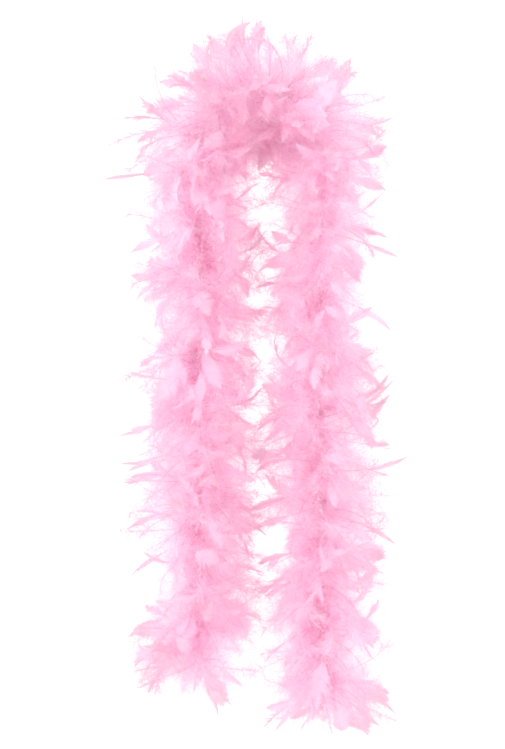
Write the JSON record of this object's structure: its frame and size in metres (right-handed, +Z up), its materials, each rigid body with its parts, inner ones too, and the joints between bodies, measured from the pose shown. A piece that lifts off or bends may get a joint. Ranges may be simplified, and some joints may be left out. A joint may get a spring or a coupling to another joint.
{
  "type": "feather boa",
  "caption": "Full chandelle feather boa hung doubled over a peg, its two tails of soft pink feathers bending sideways and fore and aft.",
  "frame": {"origin": "underside of the stitched quill binding at the top of the arch, where the boa rests on the peg, hook or neck that holds it", "axes": "+Z up, +X across the two tails towards the longer one, +Y through the boa's depth, away from a person who faces it"},
  "size_m": [0.4368, 0.196, 1.0368],
  "materials": {
    "feather_fringe": "soft dyed turkey feathers with downy bases, matt with a faint sheen",
    "core_cotton": "dyed two-ply cotton cord, matt",
    "stitching_thread": "dyed polyester thread, slight sheen"
  },
  "bodies": {
    "arch": {"core_cord_arch": "core_cotton", "feather_turn_arch_1": "feather_fringe", "feather_turn_arch_2": "feather_fringe", "feather_turn_arch_3": "feather_fringe", "feather_turn_arch_4": "feather_fringe", "feather_turn_arch_5": "feather_fringe", "feather_turn_arch_6": "feather_fringe"},
    "left_link_1": {"core_cord_left_1": "core_cotton", "feather_turn_left_1_1": "feather_fringe", "feather_turn_left_1_2": "feather_fringe", "feather_turn_left_1_3": "feather_fringe", "feather_turn_left_1_4": "feather_fringe"},
    "left_link_2": {"core_cord_left_2": "core_cotton", "feather_turn_left_2_1": "feather_fringe", "feather_turn_left_2_2": "feather_fringe", "feather_turn_left_2_3": "feather_fringe", "feather_turn_left_2_4": "feather_fringe"},
    "left_link_3": {"core_cord_left_3": "core_cotton", "feather_turn_left_3_1": "feather_fringe", "feather_turn_left_3_2": "feather_fringe", "feather_turn_left_3_3": "feather_fringe", "feather_turn_left_3_4": "feather_fringe"},
    "left_link_4": {"core_cord_left_4": "core_cotton", "feather_turn_left_4_1": "feather_fringe", "feather_turn_left_4_2": "feather_fringe", "feather_turn_left_4_3": "feather_fringe", "feather_turn_left_4_4": "feather_fringe", "end_whipping_left": "stitching_thread", "end_knot_left": "core_cotton"},
    "right_link_1": {"core_cord_right_1": "core_cotton", "feather_turn_right_1_1": "feather_fringe", "feather_turn_right_1_2": "feather_fringe", "feather_turn_right_1_3": "feather_fringe", "feather_turn_right_1_4": "feather_fringe"},
    "right_link_2": {"core_cord_right_2": "core_cotton", "feather_turn_right_2_1": "feather_fringe", "feather_turn_right_2_2": "feather_fringe", "feather_turn_right_2_3": "feather_fringe", "feather_turn_right_2_4": "feather_fringe"},
    "right_link_3": {"core_cord_right_3": "core_cotton", "feather_turn_right_3_1": "feather_fringe", "feather_turn_right_3_2": "feather_fringe", "feather_turn_right_3_3": "feather_fringe", "feather_turn_right_3_4": "feather_fringe"},
    "right_link_4": {"core_cord_right_4": "core_cotton", "feather_turn_right_4_1": "feather_fringe", "feather_turn_right_4_2": "feather_fringe", "feather_turn_right_4_3": "feather_fringe", "feather_turn_right_4_4": "feather_fringe", "feather_turn_right_4_5": "feather_fringe", "end_whipping_right": "stitching_thread", "end_knot_right": "core_cotton"}
  },
  "joints": [
    {"name": "left_bend_1_sideways", "type": "hinge", "parent": "arch", "child": "left_link_1", "pos_m": [-0.089, 0, -0.0845], "axis": [0, 1, 0], "range_deg": [0, 50], "deforming": ["feather_turn_arch_1", "feather_turn_left_1_1"]},
    {"name": "left_bend_2_fore_aft", "type": "hinge", "parent": "left_link_1", "child": "left_link_2", "pos_m": [-0.089, 0, -0.2709], "axis": [1, 0, 0], "range_deg": [-50, 50], "deforming": ["feather_turn_left_1_4", "feather_turn_left_2_1"]},
    {"name": "left_bend_3_sideways", "type": "hinge", "parent": "left_link_2", "child": "left_link_3", "pos_m": [-0.089, 0, -0.4573], "axis": [0, 1, 0], "range_deg": [0, 50], "deforming": ["feather_turn_left_2_4", "feather_turn_left_3_1"]},
    {"name": "left_bend_4_fore_aft", "type": "hinge", "parent": "left_link_3", "child": "left_link_4", "pos_m": [-0.089, 0, -0.6437], "axis": [1, 0, 0], "range_deg": [-50, 50], "deforming": ["feather_turn_left_3_4", "feather_turn_left_4_1"]},
    {"name": "right_bend_1_sideways", "type": "hinge", "parent": "arch", "child": "right_link_1", "pos_m": [0.089, 0, -0.0845], "axis": [0, -1, 0], "range_deg": [0, 50], "deforming": ["feather_turn_arch_6", "feather_turn_right_1_1"]},
    {"name": "right_bend_2_fore_aft", "type": "hinge", "parent": "right_link_1", "child": "right_link_2", "pos_m": [0.089, 0, -0.2709], "axis": [1, 0, 0], "range_deg": [-50, 50], "deforming": ["feather_turn_right_1_4", "feather_turn_right_2_1"]},
    {"name": "right_bend_3_sideways", "type": "hinge", "parent": "right_link_2", "child": "right_link_3", "pos_m": [0.089, 0, -0.4573], "axis": [0, -1, 0], "range_deg": [0, 50], "deforming": ["feather_turn_right_2_4", "feather_turn_right_3_1"]},
    {"name": "right_bend_4_fore_aft", "type": "hinge", "parent": "right_link_3", "child": "right_link_4", "pos_m": [0.089, 0, -0.6437], "axis": [1, 0, 0], "range_deg": [-50, 50], "deforming": ["feather_turn_right_3_4", "feather_turn_right_4_1"]}
  ]
}
